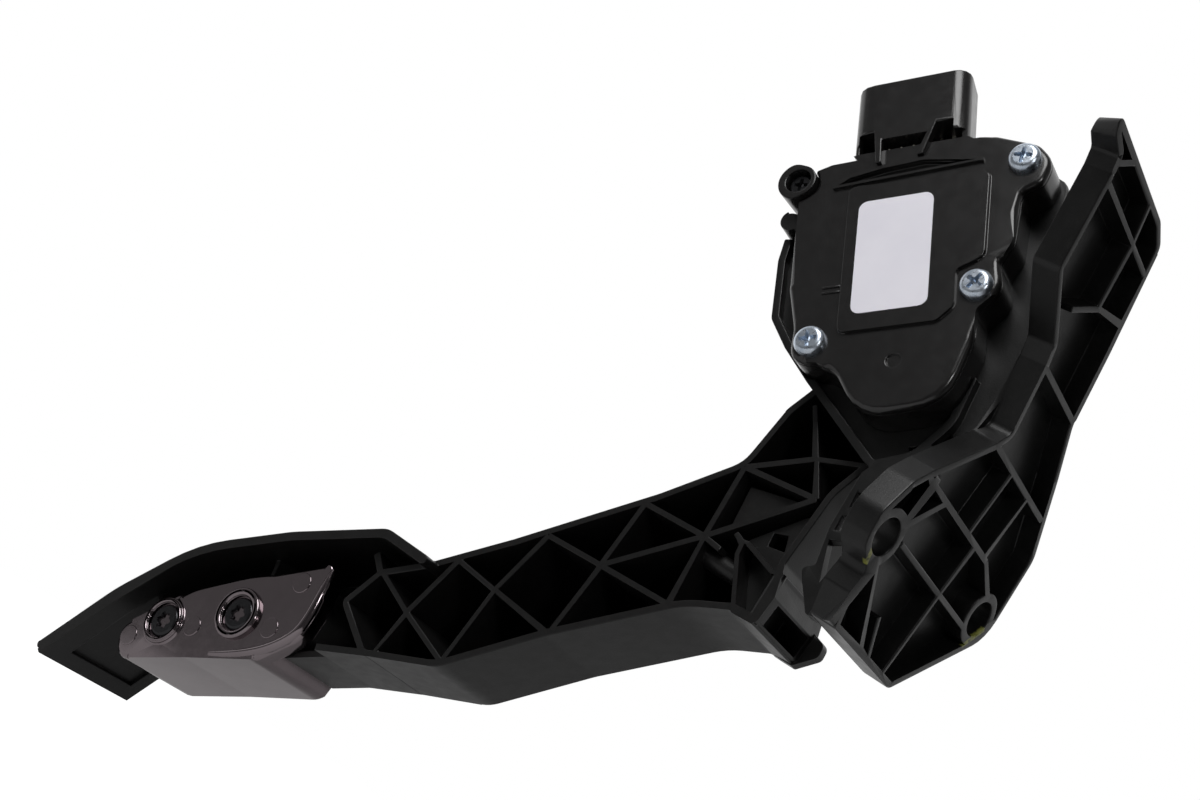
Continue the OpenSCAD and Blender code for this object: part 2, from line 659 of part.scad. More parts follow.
module connector_hood() {
    floor_t = 2;
    top_v = hood_v + window_l;
    difference() {
        translate([0, 0, hood_v]) linear_extrude(window_l + plug_l) hood_profile(0);
        translate([0, 0, top_v + floor_t]) linear_extrude(plug_l) hood_profile(plug_wall);
        // Window under the hood, open to the near side and lower between the gussets
        translate([hood_u - plug_w / 2 + plug_wall, 0, hood_v - over])
            cube([plug_w - 2 * plug_wall, near_y - 2, window_l - lip_h + over]);
        for (u = [[-plug_w / 2 + plug_wall, gusset_u[0] - hood_u + 1], [gusset_u[1] - hood_u + 0.5,
            plug_w / 2 - plug_wall - 2]]) translate([hood_u + u[0], hood_y - over, hood_v - over])
            cube([u[1] - u[0], near_y - 2 - hood_y + over, window_l + over]);
        translate([hood_u - plug_w / 2 - over, hood_y - over, hood_v - over])
            cube([plug_w + 2 * over, -hood_y + over, window_l - lip_h + over]);
        across(pin_y - 0.3 - seat_fit, 0.6 + 2 * seat_fit) for (i = [0:5])
            translate([hood_u + (i - 2.5) * pin_pitch - pin_w / 2 - seat_fit, hood_v - over])
                square([pin_w + 2 * seat_fit, window_l + floor_t + 2 * over]);
    }
    // Leaning gussets from the cover's face up to the hood
    for (g = gussets) across(hood_y, cover_t) polygon(g);
}

module sensor_cover() {
    color("#2a2a2b") at_pivot() difference() {
        in_sensor() {
            across(0, cover_t) shape(cover_outline);
            across(-panel_h, panel_h + 0.5) shape(platform);
            across(0, cover_t) translate([hood_u - plug_w / 2, hood_v - 2.5])
                square([plug_w, 3]);
            // Ridges above the raised panel
            for (i = [0:len(ridge_line) - 2]) across(-ridge_h, ridge_h + over)
                strip(ridge_line[i], ridge_line[i + 1], 1.3);
            across(-ridge_h, ridge_h + over) strip(ridge_line[0], wrap(ridge_line, -1), 0.8);
            connector_hood();
        }
        in_sensor() {
            across(-over - ridge_h, 1.2 + over + ridge_h) polygon(ridge_recess);
            for (s = screw_at) pin_across(s, -over, cover_t + 2 * over, screw_shank_d + 2 * seat_fit);
            pin_across(boss_at, -2, 8, boss_d + 2 * seat_fit);
        }
        pin_across([0, 0], -panel_h - over, over + 0.6 + panel_h, 4);
    }
}

module cover_screws() {
    color("#c9d2dc") at_pivot() in_sensor() for (s = screw_at) {
        difference() {
            pin_across(s, -2.4, 2.4, screw_head_d);
            for (a = [0, 90]) across(-2.4 - over, 1.2 + over) translate(s) rotate(a)
                square([5, 1.1], center = true);
        }
        pin_across(s, -0.5, near_y + 2.5, screw_shank_d);
    }
}

module boss_screw() {
    color("#1c1c1c") at_pivot() in_sensor() {
        difference() {
            pin_across(boss_at, 0.6, 1.9, 7);
            for (a = [0, 60, 120]) across(0.6 - over, 1 + over) translate(boss_at) rotate(a)
                square([3.4, 0.8], center = true);
        }
        pin_across(boss_at, 2.2, 6.3, 3.4);
    }
}

module label() {
    color("#f4f2f8") at_pivot() in_sensor() across(-panel_h - label_t, label_t)
        translate(label_at) polygon(rounded([[-label_w / 2, -label_l / 2, 2.5],
            [label_w / 2, -label_l / 2, 2.5], [label_w / 2, label_l / 2, 2.5],
            [-label_w / 2, label_l / 2, 2.5]]));
}

// Carrier pressed on the end of the shaft, and the magnet ring on its face
module sensor_rotor() {
    color("#3c3c3c") at_pivot() translate([0, rotor_y, 0]) rotate([90, 0, 0]) difference() {
        cylinder(d = rotor_d, h = rotor_h);
        translate([0, 0, -over]) cylinder(d = shaft_d + 2 * seat_fit, h = rotor_h + 2 * over);
    }
}

module rotor_magnet() {
    color("#b8bcc0") at_pivot() translate([0, rotor_y - rotor_h, 0]) rotate([90, 0, 0]) difference() {
        cylinder(d = rotor_d - 1, h = 0.8);
        translate([0, 0, -over]) cylinder(d = shaft_d + 1, h = 0.8 + 2 * over);
    }
}

// Pedal

// Open ribbed box of the arm, with its closed web on the far side
module arm_body() {
    across(arm_y, arm_w) {
        wall_of(arm_outline, arm_wall);
        intersection() {
            shape(arm_outline);
            for (r = arm_ribs) strip(r[0], r[1], arm_rib);
        }
        wall_of(stop_block, stop_rim);
        strip(arm_belly[0], arm_belly[1], arm_wall);
    }
    across(arm_y + stop_recess, arm_w - stop_recess) shape(stop_block);
    across(arm_far - arm_web, arm_web) {
        shape(arm_outline);
        polygon(pad_web);
        polygon(arm_end_web);
    }
    across(arm_far - heel_plate, heel_plate) shape(heel);
    pin_across([0, 0], plate_in + slide_gap, box_w - 2 * slide_gap, hub_d);
    pin_forward(-24, 12, arm_y + 6, -65.8, 6);
    pin_forward(lever_rear + 0.5, 6, mid_y, spring_z, 11);
    // Rounded bar down the front of the stop block
    translate([bar_foot[0], arm_y + bar_d / 2, bar_foot[1]])
        rotate([0, bar_lean, 0]) cylinder(d = bar_d, h = bar_l);
    across(arm_y + 4, 3) {
        polygon(pocket_a);
        difference() {
            polygon(pocket_b);
            polygon(pocket_hole);
        }
    }
}

// A point of the pad's line moved d towards the pad's underside
function under_pad(i, d) = let (n = len(pad_line),
    a = left_of(i > 0 ? way_in(pad_line, i) : way_out(pad_line, i)),
    b = left_of(i < n - 1 ? way_out(pad_line, i) : way_in(pad_line, i)))
    xy(pad_line[i]) + d * (a + b) / (1 + a * b);

// The curved plate under the driver's foot, with the band round its lower end and grip ridges
module foot_pad() {
    n = len(pad_line);
    inner = [for (i = [n - 1:-1:0]) concat(under_pad(i, pad_t), radius_of(pad_line, i))];
    band = [under_pad(n - 3, pad_t - 0.5), under_pad(n - 2, pad_t - 0.5), under_pad(n - 1, pad_t - 0.5),
        under_pad(n - 1, pad_t + band_h), under_pad(n - 2, pad_t + band_h)];
    down = way_in(pad_line, n - 1);
    tip = under_pad(n - 1, 0);
    tip_in = under_pad(n - 1, pad_t + band_h + 1);
    first = [-148, -134];
    last = [-184, -171];
    along = unit(last - first);
    across(pad_y, pad_w) {
        shape(concat(pad_line, inner));
        intersection() {
            polygon(band);
            polygon([tip + down, tip_in + down, tip_in - band_end * down, tip - band_end * down]);
        }
    }
    across(pad_y, band_near) polygon(band);
    across(pad_y + pad_w - band_far, band_far) polygon(band);
    // Grip ridges across the foot side
    across(pad_y + 5, pad_w - 10) for (i = [0:8])
        let (p = first + (last - first) * i / 8 - left_of(along) * 2.6 * sin(180 * i / 8))
        translate(p) rotate(atan2(along[1], along[0])) translate([-0.8, -grip_h]) square([1.6, grip_h + 1.5]);
}

// Walled box at the arm's lower end that the trim is screwed on
module arm_end() {
    box_outline = inset(ccw(trim_outline), trim_t + slide_gap);
    box_y = trim_y + trim_t + slide_gap;
    boss_y = box_y + trim_ring_h;
    rim_y = trim_y + trim_rim + slide_gap;
    across(box_y, arm_far - box_y) wall_of(box_outline, arm_wall);
    // Short rib from the arm's upper corner to the pad
    across(arm_y, arm_w) strip([-109.5, -122.8], [-115, -119.2], 2.2);
    across(arm_far - arm_web, arm_web) shape(box_outline);
    for (s = trim_screw_at) pin_across(s, boss_y, arm_far - boss_y, trim_shank_d + 4.4);
    // Ribs that carry the pad's underside onto the box
    across(box_y + 4, arm_far - box_y - 4) {
        strip([-151, -138], [-146, -150], arm_rib);
        strip([-181, -172], [-174, -180], arm_rib);
    }
    // The arm's lower wall runs on into the trim
    across(rim_y, arm_far - rim_y) strip(arm_belly[1] + [1, 0.6], arm_belly[2], arm_wall);
}

module pedal_arm() {
    color("#2b2b2c") at_pivot() difference() {
        union() {
            arm_body();
            foot_pad();
            arm_end();
        }
        pin_across([0, 0], plate_in, box_w, shaft_d + 2 * seat_fit);
        pin_forward(lever_rear - over, 5.3 + over, mid_y, spring_z, 6 + 2 * seat_fit);
        across(arm_y + 8 - seat_fit, arm_w - 16 + 2 * seat_fit)
            translate([-6 - seat_fit, lever_top - 4 - seat_fit]) square([4 + 2 * seat_fit, 6]);
        for (s = trim_screw_at) {
            pin_across(s, trim_y, 16, trim_shank_d + 2 * seat_fit);
            pin_across(s, trim_y, trim_t + trim_ring_h + seat_fit, trim_ring_d + 2 * slide_gap);
        }
        // Slot pocket along the arm's front end, deeper towards the far side
        translate([0, 0, -73.4]) linear_extrude(6.6) polygon([[12, arm_y + 4], [2.2, arm_y + 4],
            [-5, arm_far - heel_plate - 2], [12, arm_far - heel_plate - 2]]);
    }
}

module pivot_shaft() {
    color("#9a9da0") at_pivot() pin_across([0, 0], shaft_start, shaft_end - shaft_start, shaft_d);
}

module pad_trim() {
    color("#4b4547") at_pivot() difference() {
        union() {
            across(trim_y, trim_t) shape(trim_outline);
            across(trim_y, trim_rim) intersection() {
                wall_of(trim_outline, trim_t);
                polygon(trim_edge_zone);
            }
            across(trim_y, trim_w) intersection() {
                wall_of(trim_outline, trim_t);
                polygon(trim_belly_zone);
            }
            for (s = trim_screw_at)
                pin_across(s, trim_y - trim_ring_h, trim_t + 2 * trim_ring_h, trim_ring_d);
        }
        for (s = trim_screw_at) {
            pin_across(s, trim_y - trim_ring_h - over, 2.4 + over, trim_head_d + 1.4);
            pin_across(s, trim_y - over, trim_t + 2, trim_shank_d + 0.4);
        }
    }
}

module trim_screws() {
    head_y = trim_y - trim_ring_h + 0.4;
    color("#161616") at_pivot() for (s = trim_screw_at) {
        difference() {
            pin_across(s, head_y, 2, trim_head_d);
            for (a = [0, 60, 120]) across(head_y - over, 1.2 + over) translate(s) rotate(a)
                square([5, 1.2], center = true);
        }
        pin_across(s, head_y + 1.8, 13, trim_shank_d);
    }
}

bracket_housing();
near_bush();
far_bush();
idle_stop_buffer();
spring_seat();
return_spring_outer();
return_spring_inner();
sensor_housing();
cover_seal();
circuit_board();
contact_pins();
sensor_cover();
cover_screws();
boss_screw();
label();
pedal_arm();
pivot_shaft();
sensor_rotor();
rotor_magnet();
spring_cup();
friction_shoe();
pad_trim();
trim_screws();
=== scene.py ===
# %% [markdown]
# # A hanging accelerator pedal
# The real object is a car's accelerator pedal: a ribbed arm of black glass-filled nylon hangs in a bracket
# of the same plastic, with a sealed position sensor screwed to its side. The shapes come from the packed
# CAD model. Here they get soft moulded edges, real fasteners, real finishes and studio light.
# The frame is loaded first, because every piece is placed by it and moves with its bodies.

# %% Load the frame
import json
import bmesh
import bpy
from math import cos, hypot, pi, radians, sin
from mathutils import Matrix, Vector
from mathutils.bvhtree import BVHTree


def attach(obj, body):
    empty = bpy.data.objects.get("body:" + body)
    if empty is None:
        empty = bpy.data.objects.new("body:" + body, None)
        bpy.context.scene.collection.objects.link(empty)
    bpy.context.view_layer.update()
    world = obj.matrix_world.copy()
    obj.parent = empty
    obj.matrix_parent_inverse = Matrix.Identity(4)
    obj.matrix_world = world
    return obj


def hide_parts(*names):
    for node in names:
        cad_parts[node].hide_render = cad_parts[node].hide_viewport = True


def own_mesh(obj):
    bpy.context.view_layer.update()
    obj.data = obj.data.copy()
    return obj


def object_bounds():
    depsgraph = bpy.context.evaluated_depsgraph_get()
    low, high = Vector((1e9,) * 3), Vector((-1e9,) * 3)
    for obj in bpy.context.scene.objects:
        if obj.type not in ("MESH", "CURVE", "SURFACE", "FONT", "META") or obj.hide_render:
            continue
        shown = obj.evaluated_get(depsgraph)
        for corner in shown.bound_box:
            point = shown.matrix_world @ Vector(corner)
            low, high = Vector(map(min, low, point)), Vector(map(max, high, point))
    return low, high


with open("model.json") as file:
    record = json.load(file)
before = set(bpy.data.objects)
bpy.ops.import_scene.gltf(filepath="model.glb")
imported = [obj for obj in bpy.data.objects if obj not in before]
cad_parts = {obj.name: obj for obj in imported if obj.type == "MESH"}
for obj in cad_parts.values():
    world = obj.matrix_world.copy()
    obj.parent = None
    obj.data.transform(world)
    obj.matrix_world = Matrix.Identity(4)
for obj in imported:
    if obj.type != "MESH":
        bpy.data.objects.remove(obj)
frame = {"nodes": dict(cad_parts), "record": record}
cad_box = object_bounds()
nodes = frame["nodes"]
mm = 0.001

# %% [markdown]
# ## Camera
# The photograph's viewpoint was solved from the object's own right angles. The camera's three axes are
# given as directions in the part's frame, and a matrix turns and places it in one go. A matrix was chosen
# over aiming the camera at a target, because the photograph is rolled by about 38 degrees.

# %% Camera
right = Vector((0.659, 0.443, 0.608)).normalized()
back = Vector((0.640, -0.755, -0.144)).normalized()
up = back.cross(right).normalized()
right = up.cross(back)
camera_at = Vector((0.2105, -0.3956, -0.0800))
camera_data = bpy.data.cameras.new("photo_camera")
camera_data.sensor_width = 36
camera_data.lens = 52.65
camera_data.clip_start = 0.01
camera = bpy.data.objects.new("photo_camera", camera_data)
turned = Matrix((right, up, back)).transposed().to_4x4()
camera.matrix_world = Matrix.Translation(camera_at) @ turned
bpy.context.scene.collection.objects.link(camera)
bpy.context.scene.camera = camera
print("camera axes:", [tuple(round(c, 3) for c in v) for v in (right, up, back)])

# %% [markdown]
# ## Nodes and colours
# Every material is built from nodes. One function adds a node, sets its options and fills its inputs, and
# a few short ones stand on it for sums and ranges. Colours are written as sRGB hex codes, as a colour
# picker shows them, and one function turns them into the linear values that Blender works with.

# %% Helpers for nodes and colours
white = (1, 1, 1, 1)


def linear(code):
    """An sRGB hex colour as linear RGBA."""
    parts = [int(code[i:i + 2], 16) / 255 for i in (1, 3, 5)]
    return [c / 12.92 if c <= 0.04045 else ((c + 0.055) / 1.055) ** 2.4 for c in parts] + [1.0]


def add(tree, kind, links=None, **settings):
    """Adds a node, sets its options and fills its inputs with values or with other nodes' outputs."""
    node = tree.nodes.new(kind)
    for option, value in settings.items():
        setattr(node, option, value)
    for socket, value in (links or {}).items():
        if isinstance(value, bpy.types.NodeSocket):
            tree.links.new(value, node.inputs[socket])
        else:
            node.inputs[socket].default_value = value
    return node


def maths(tree, operation, a, b):
    """The result of a Math node on two values."""
    return add(tree, "ShaderNodeMath", {0: a, 1: b}, operation=operation).outputs[0]


def ramp(tree, value, start, stop, low, high):
    """A value that goes from low to high while another goes from start to stop."""
    return add(tree, "ShaderNodeMapRange", {0: value, 1: start, 2: stop, 3: low, 4: high}).outputs[0]


def lit_and_seen(tree, lit, seen, mirrored):
    """Lights the object with one shader, and shows another to the camera and, in part, to mirrors."""
    path = add(tree, "ShaderNodeLightPath").outputs
    mirror = maths(tree, "MAXIMUM", path["Is Glossy Ray"], path["Is Transmission Ray"])
    mirror = maths(tree, "MULTIPLY", mirror, mirrored)
    shown = maths(tree, "MAXIMUM", path["Is Camera Ray"], mirror)
    return add(tree, "ShaderNodeMixShader", {0: shown, 1: lit, 2: seen}).outputs[0]


print("black, mid grey, white:", [round(linear(c)[0], 3) for c in ("#000000", "#808080", "#ffffff")])

# %% [markdown]
# ## Studio
# The object was photographed in a white box with one large softbox over the camera, so the label and the
# faces that look up at it are bright, the cells between the ribs fall off to black, and the underside of
# the arm mirrors the floor. One large lamp stands in for that softbox and a weak one fills from the
# camera's side. The world lights the object only dimly. The camera sees it as a white backdrop, and so does
# a glossy face that mirrors the side behind the object. The side behind the camera is a dark room.

# %% World
bpy.context.scene.view_settings.view_transform = "Standard"
world = bpy.data.worlds.new("studio_world")
bpy.context.scene.world = world
world.use_nodes = True
sky = world.node_tree
sky.nodes.clear()
# 1 where a ray leaves to the camera's rear, -1 where it leaves behind the object.
toward_camera = add(sky, "ShaderNodeVectorMath", {
    0: add(sky, "ShaderNodeTexCoord").outputs["Generated"], 1: back},
    operation="DOT_PRODUCT").outputs["Value"]
behind_object = ramp(sky, toward_camera, -0.25, -0.5, 0.15, 1.0)
behind_camera = ramp(sky, toward_camera, 0.3, 0.55, 1.0, 0.15)
backdrop = maths(sky, "MULTIPLY", behind_object, behind_camera)
dim_studio = add(sky, "ShaderNodeBackground", {"Color": white, "Strength": 0.05}).outputs[0]
seen_white = add(sky, "ShaderNodeBackground", {"Color": white, "Strength": 1.0}).outputs[0]
add(sky, "ShaderNodeOutputWorld", {
    "Surface": lit_and_seen(sky, dim_studio, seen_white, mirrored=backdrop)})
print("world nodes:", len(sky.nodes))

# %% Lamps
centre = (Vector(cad_box[0]) + Vector(cad_box[1])) / 2


def softbox(name, direction, distance, size, watts):
    """A square area lamp that faces the middle of the object from a direction."""
    lamp = bpy.data.lights.new(name, "AREA")
    lamp.shape = "SQUARE"
    lamp.size = size
    lamp.energy = watts
    holder = bpy.data.objects.new(name, lamp)
    out = Vector(direction).normalized()
    facing = out.to_track_quat("Z", "Y").to_matrix().to_4x4()
    holder.matrix_world = Matrix.Translation(centre + out * distance) @ facing
    holder.visible_camera = False
    bpy.context.scene.collection.objects.link(holder)


softbox("lamp_key", 0.88 * up + 0.36 * back + 0.1 * right, distance=1.1, size=0.6, watts=8.0)
softbox("lamp_camera_side", 0.3 * up + 0.85 * back + 0.4 * right, distance=1.2, size=0.16, watts=1.8)

# %% [markdown]
# ## Floor
# The floor is plain pale paper. It lies 45 mm under the part, because the pad comes 38 mm lower when the
# pedal is pressed. The lamps light it and the object's shadow falls on it. Where the camera looks at it, a
# glow is added to make it white, which leaves the light on the object as it is.

# %% Floor
floor_z = cad_box[0][2] - 0.045
bpy.ops.object.select_all(action="DESELECT")
bpy.ops.mesh.primitive_plane_add(size=1.2, location=(0, 0, floor_z))
floor = bpy.context.object
floor.name = "floor"
bpy.ops.object.transform_apply(location=True, rotation=True, scale=True)
pale = bpy.data.materials.new("pale_floor")
pale.use_nodes = True
tree = pale.node_tree
tree.nodes.clear()
paper = add(tree, "ShaderNodeBsdfDiffuse", {"Color": linear("#e0e0e0")}).outputs[0]
glow = add(tree, "ShaderNodeEmission", {"Color": white, "Strength": 0.88}).outputs[0]
paper_glow = add(tree, "ShaderNodeAddShader", {0: paper, 1: glow}).outputs[0]
add(tree, "ShaderNodeOutputMaterial", {
    "Surface": lit_and_seen(tree, paper, paper_glow, mirrored=0.15)})
floor.data.materials.append(pale)
print("floor at", round(floor_z, 4))

# %% [markdown]
# ## Moulded plastics
# The bracket and arm are glass-filled nylon, and the sensor is polyester. Such plastic is black in itself,
# and what the eye sees is mostly the studio mirrored in its skin: soft and broad on the spark-eroded nylon,
# tighter on the smoother sensor. One function makes all moulded plastics: a cloudy tone at 15 mm for the
# flow of the melt, a fine grain for the tool's skin, and a touch of pale dust. Its pattern reads Object
# coordinates in metres, so 1 / size gives the scale. The grain is drawn at about 0.5 mm, coarser than the
# real 0.1 mm, because a finer one wouldn't show.

# %% Material helpers
materials = {}


def blank(name):
    """A new material with an empty node tree, its Object coordinates and its shader."""
    material = bpy.data.materials.new(name)
    material.use_nodes = True
    tree = material.node_tree
    tree.nodes.clear()
    coords = add(tree, "ShaderNodeTexCoord").outputs["Object"]
    shader = add(tree, "ShaderNodeBsdfPrincipled")
    add(tree, "ShaderNodeOutputMaterial", {"Surface": shader.outputs[0]})
    return material, tree, coords, shader


def cloud(tree, coords, size_mm, detail=2.0, rough=0.5):
    """Noise whose blobs are size_mm across."""
    return add(tree, "ShaderNodeTexNoise", {
        "Vector": coords, "Scale": 1 / (size_mm * mm), "Detail": detail, "Roughness": rough}).outputs[0]


def spread(tree, value, low, high, start=0.35, stop=0.65):
    """Maps a noise value onto a range."""
    return ramp(tree, value, start, stop, low, high)


def blend_colour(tree, factor, a, b):
    """A colour between a and b."""
    return add(tree, "ShaderNodeMix", {0: factor, 6: a, 7: b}, data_type="RGBA").outputs[2]


def roughen(tree, shader, height, deep_mm, strength):
    """Gives a shader small bumps."""
    bump = add(tree, "ShaderNodeBump", {
        "Height": height, "Distance": deep_mm * mm, "Strength": strength})
    tree.links.new(bump.outputs[0], shader.inputs["Normal"])


def moulded(slot, name, dark, light, roughness, grain_mm, bump_mm, dust=0.0, ior=1.53, gloss=0.3):
    """A moulded plastic with a cloudy tone, a fine grain and a little dust."""
    material, tree, coords, shader = blank(name)
    flow = spread(tree, cloud(tree, coords, 15, 3), 0, 1)
    tone = blend_colour(tree, flow, linear(dark), linear(light))
    if dust:
        specks = spread(tree, cloud(tree, coords, 2.2, 4, 0.7), 0, dust, 0.52, 0.75)
        tone = blend_colour(tree, specks, tone, linear("#a8a6a0"))
    tree.links.new(tone, shader.inputs["Base Color"])
    skin = spread(tree, cloud(tree, coords, 4, 3), roughness - 0.02, roughness + 0.03)
    tree.links.new(skin, shader.inputs["Roughness"])
    shader.inputs["IOR"].default_value = ior
    shader.inputs["Specular IOR Level"].default_value = gloss
    roughen(tree, shader, cloud(tree, coords, grain_mm, 2), bump_mm, 0.6)
    materials[slot] = material


print("noise scale of a 0.5 mm grain:", round(1 / (0.5 * mm)))

# %% Moulded plastics: slot, name, dark and light tone, roughness, grain and its height in mm
moulded("bracket_plastic", "glass_filled_nylon_bracket", "#0e0e0e", "#121212", 0.36, 0.45, 0.04, dust=0.01)
moulded("arm_plastic", "glass_filled_nylon_arm", "#0f0f0f", "#131212", 0.38, 0.45, 0.04, dust=0.01)
moulded("sensor_plastic", "moulded_polyester_sensor", "#121111", "#161515", 0.24, 0.5, 0.002,
        dust=0.01, ior=1.57, gloss=0.45)
moulded("seat_plastic", "moulded_acetal_seat", "#38383a", "#424244", 0.4, 0.5, 0.03)
moulded("shoe_acetal", "friction_acetal_shoe", "#7a7a72", "#88887f", 0.42, 0.5, 0.03)
moulded("bush_polymer", "bearing_polymer", "#b9ae8c", "#c8bea0", 0.4, 0.4, 0.03)
moulded("stop_rubber", "moulded_rubber_stop", "#232323", "#2d2d2d", 0.75, 0.4, 0.06)
moulded("seal_silicone", "silicone_seal", "#7a3a2a", "#8a4632", 0.6, 0.4, 0.03)
moulded("board_laminate", "solder_masked_laminate", "#1d4a2a", "#265a34", 0.3, 0.8, 0.02)
moulded("magnet_ferrite", "bonded_ferrite", "#3c3c3e", "#4a4a4c", 0.55, 0.3, 0.04)
moulded("label_film", "bare_label_film", "#efedf6", "#f4f2fa", 0.35, 6.0, 0.05)
print("plastics:", len(materials))

# %% [markdown]
# ## Inspection paint
# Both bolt bores carry worn yellow-green paint beside their ring, put there at assembly. It could be a thin
# piece of its own, but paint has no thickness to see, so it is part of the bracket's material: a mask picks
# three straight strokes on the front of the flange, and noise breaks them up as worn paint does.

# %% Strokes of paint
tree = materials["bracket_plastic"].node_tree
spot = next(n for n in tree.nodes if n.type == "TEX_COORD").outputs["Object"]
nylon = next(n for n in tree.nodes if n.type == "BSDF_PRINCIPLED")


def band(value, low, high, soft):
    """1 between two limits, with soft ends."""
    rise = ramp(tree, value, low - soft, low, 0.0, 1.0)
    fall = ramp(tree, value, high, high + soft, 1.0, 0.0)
    return maths(tree, "MULTIPLY", rise, fall)


def measure(along):
    """How far each place reaches in a direction."""
    return add(tree, "ShaderNodeVectorMath", {0: spot, 1: along}, operation="DOT_PRODUCT").outputs["Value"]


def stroke(bore, start, stop, thick):
    """A straight stroke of paint, in mm of y and z from the middle of a bore."""
    start, stop = (Vector((0, bore[0] + y, bore[1] + z)) * mm for y, z in (start, stop))
    along = (stop - start).normalized()
    across = Vector((1, 0, 0)).cross(along)
    middle = start.dot(across)
    wide = band(measure(across), middle - thick / 2 * mm, middle + thick / 2 * mm, 0.25 * mm)
    long = band(measure(along), start.dot(along), stop.dot(along), 0.3 * mm)
    return maths(tree, "MULTIPLY", wide, long)


right_bore, left_bore = (-32.5, -3.5), (32.5, 3.5)
strokes = maths(tree, "MAXIMUM",
                stroke(right_bore, (-2.0, -4.6), (-0.3, -8.3), 1.3),
                stroke(left_bore, (0.8, -8.3), (5.9, -0.6), 1.3))
thin = maths(tree, "MULTIPLY", stroke(right_bore, (-4.9, 1.2), (-3.6, -3.6), 0.4), 0.5)
strokes = maths(tree, "MAXIMUM", strokes, thin)
print("paint strokes: 3")

# %% Worn paint on the front of the flange
depth = add(tree, "ShaderNodeSeparateXYZ", {0: spot}).outputs["X"]
front = band(depth, -0.8 * mm, 2 * mm, 0.5 * mm)
worn = spread(tree, cloud(tree, spot, 1.6, 3, 0.6), 0.15, 1.0, 0.38, 0.55)
mask = maths(tree, "MULTIPLY", maths(tree, "MULTIPLY", strokes, front), worn)
black = nylon.inputs["Base Color"].links[0].from_socket
tree.links.new(blend_colour(tree, mask, black, linear("#8f9148")), nylon.inputs["Base Color"])
print("bracket material nodes:", len(tree.nodes))

# %% [markdown]
# ## Metals and plating
# The cover screws are zinc plated and clear blue passivated, which leaves a cool silver with faint clouds.
# The black screws have a thin coat, so they mirror less. The trim is smoked satin chrome on plastic, a
# dark, warm grey mirror with a slight haze. Metals keep the default IOR, and their colour is the
# reflection's colour.

# %% Metals: slot, name, dark and light tone, roughness, size and height of the clouds in mm
def metal(slot, name, dark, light, roughness, cloud_mm, bump_mm, metallic=1.0):
    """A metal or plating whose tone and haze vary in soft clouds."""
    material, tree, coords, shader = blank(name)
    haze = cloud(tree, coords, cloud_mm, 3, 0.6)
    tone = blend_colour(tree, spread(tree, haze, 0, 1), linear(dark), linear(light))
    tree.links.new(tone, shader.inputs["Base Color"])
    skin = spread(tree, cloud(tree, coords, cloud_mm / 3, 3), roughness * 0.85, roughness * 1.25)
    tree.links.new(skin, shader.inputs["Roughness"])
    shader.inputs["Metallic"].default_value = metallic
    roughen(tree, shader, cloud(tree, coords, cloud_mm / 2, 2), bump_mm, 0.5)
    materials[slot] = material


metal("zinc_screw_steel", "blue_passivated_zinc", "#b4bfcc", "#d2dae4", 0.3, 3, 0.02)
metal("black_screw_steel", "black_coated_steel", "#2a2a2c", "#323234", 0.2, 3, 0.01, metallic=0.7)
metal("spring_steel", "drawn_spring_wire", "#8f9296", "#a4a7ab", 0.35, 2, 0.02)
metal("shaft_steel", "ground_shaft_steel", "#a8aaad", "#bcbec1", 0.25, 3, 0.01)
metal("pin_brass", "tinned_brass", "#d8d4c8", "#e8e4d8", 0.3, 2, 0.01)
metal("trim_plating", "smoked_satin_chrome", "#81787b", "#857c7f", 0.12, 9, 0.003)
print("materials:", len(materials))

# %% [markdown]
# ## Moulded edges
# No moulded edge is knife sharp: the ribs and walls of the real part have radii of 0.3 to 0.6 mm that
# catch the light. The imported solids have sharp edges, so each visible solid gets a copy. The copy's loose
# triangles are merged and its flat faces dissolved, a bevel rounds each sharp edge, and the copy then
# stands for the node. Rounding them all by one modifier keeps the solid's own sizes.

# %% Helpers for pieces
def pick_only(piece):
    """Makes one object the only selected and active one."""
    bpy.ops.object.select_all(action="DESELECT")
    piece.select_set(True)
    bpy.context.view_layer.objects.active = piece


def apply_all(piece):
    """Applies every modifier of a piece."""
    pick_only(piece)
    for modifier in list(piece.modifiers):
        bpy.ops.object.modifier_apply(modifier=modifier.name)


def finish_piece(piece, slot, body):
    """Gives a finished piece its material slot and its body."""
    piece.data.materials.clear()
    piece.data.materials.append(materials[slot])
    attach(piece, body)


def merged_copy(node, name):
    """A copy of a CAD node as one closed mesh of large flat faces."""
    piece = bpy.data.objects.new(name, nodes[node].data.copy())
    bpy.context.scene.collection.objects.link(piece)
    pick_only(piece)
    bpy.ops.mesh.customdata_custom_splitnormals_clear()
    bpy.ops.object.mode_set(mode="EDIT")
    bpy.ops.mesh.select_all(action="SELECT")
    bpy.ops.mesh.remove_doubles(threshold=0.03 * mm)
    bpy.ops.mesh.dissolve_limited(angle_limit=radians(0.6))
    bpy.ops.mesh.vert_connect_concave()
    bpy.ops.object.mode_set(mode="OBJECT")
    return piece


def level_faces(piece, angle=40):
    """Smooth shading over the rounded edges only, so that flat faces stay level."""
    pick_only(piece)
    bpy.ops.object.shade_smooth_by_angle(angle=radians(angle))
    level = piece.modifiers.new("level", "WEIGHTED_NORMAL")
    level.keep_sharp = True
    apply_all(piece)


print("faces of the packed arm:", len(nodes["pedal_arm"].data.polygons))

# %% [markdown]
# ## Bevels that fit
# One bevel radius doesn't suit every edge: beside a thin rib it would cross its neighbour and fold over.
# Blender's own clamp would shrink all radii to the smallest, so each edge gets a weight of its own from the
# room beside it. The bevelled faces are then compared with the sharp solid, and where one has turned over,
# the edges near it stay sharp.

# %% Weights of the bevels
sharp_angle = radians(38)
parallel_cosine = 0.82


